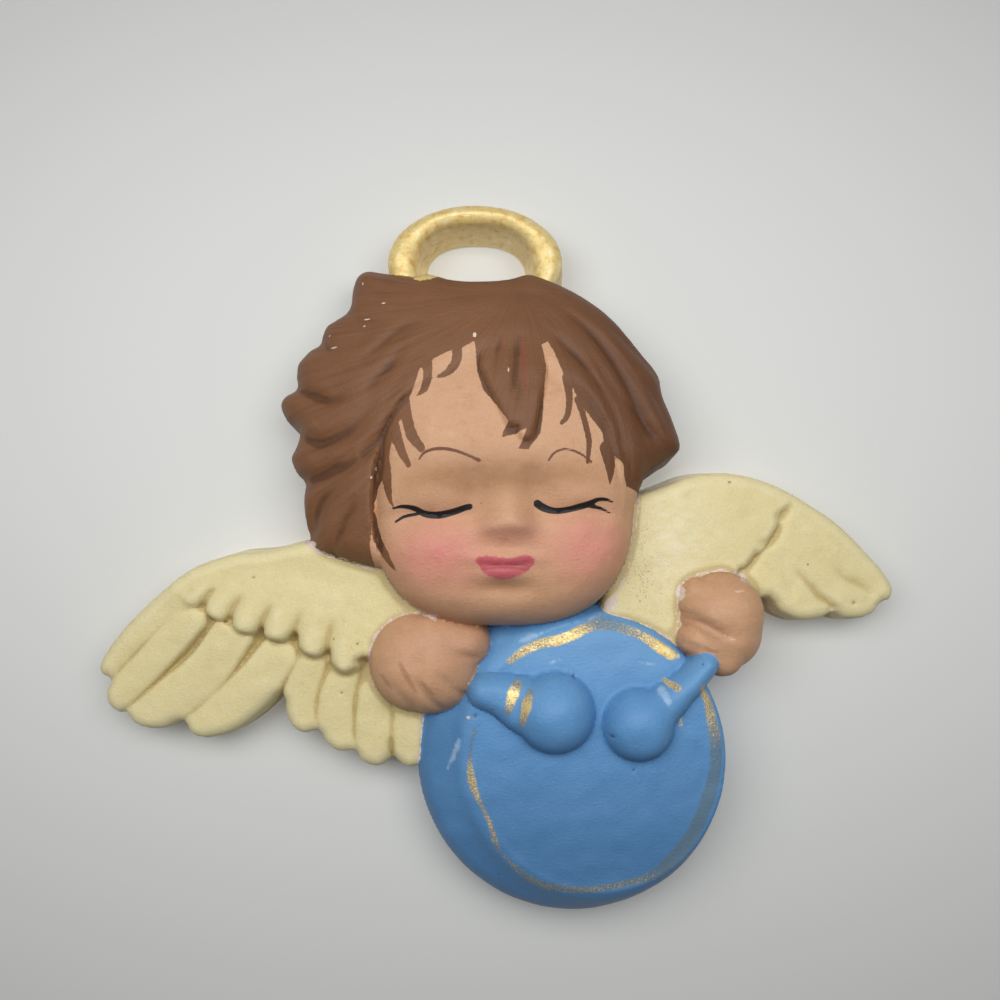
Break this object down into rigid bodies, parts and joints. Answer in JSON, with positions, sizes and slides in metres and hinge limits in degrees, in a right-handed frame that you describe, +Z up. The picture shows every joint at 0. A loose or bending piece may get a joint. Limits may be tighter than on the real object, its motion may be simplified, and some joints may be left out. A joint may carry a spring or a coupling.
{
  "type": "cherub wall plaque",
  "caption": "Cast plaster relief of a winged cherub's head with halo, hair and fists holding beaters over a round drum; flat back, hung by the halo.",
  "frame": {"origin": "on the flat back, behind the face, where the plaque lies against the wall", "axes": "+Y out of the flat back into the wall, +Z up as hung, +X to the right seen from the front"},
  "size_m": [0.1504, 0.0268, 0.1336],
  "materials": {
    "painted_plaster": "hand-painted matt acrylic in cream, brown, skin, blue and gold on cast gypsum plaster"
  },
  "bodies": {
    "root": {"cherub_plaque": "painted_plaster"}
  },
  "joints": []
}
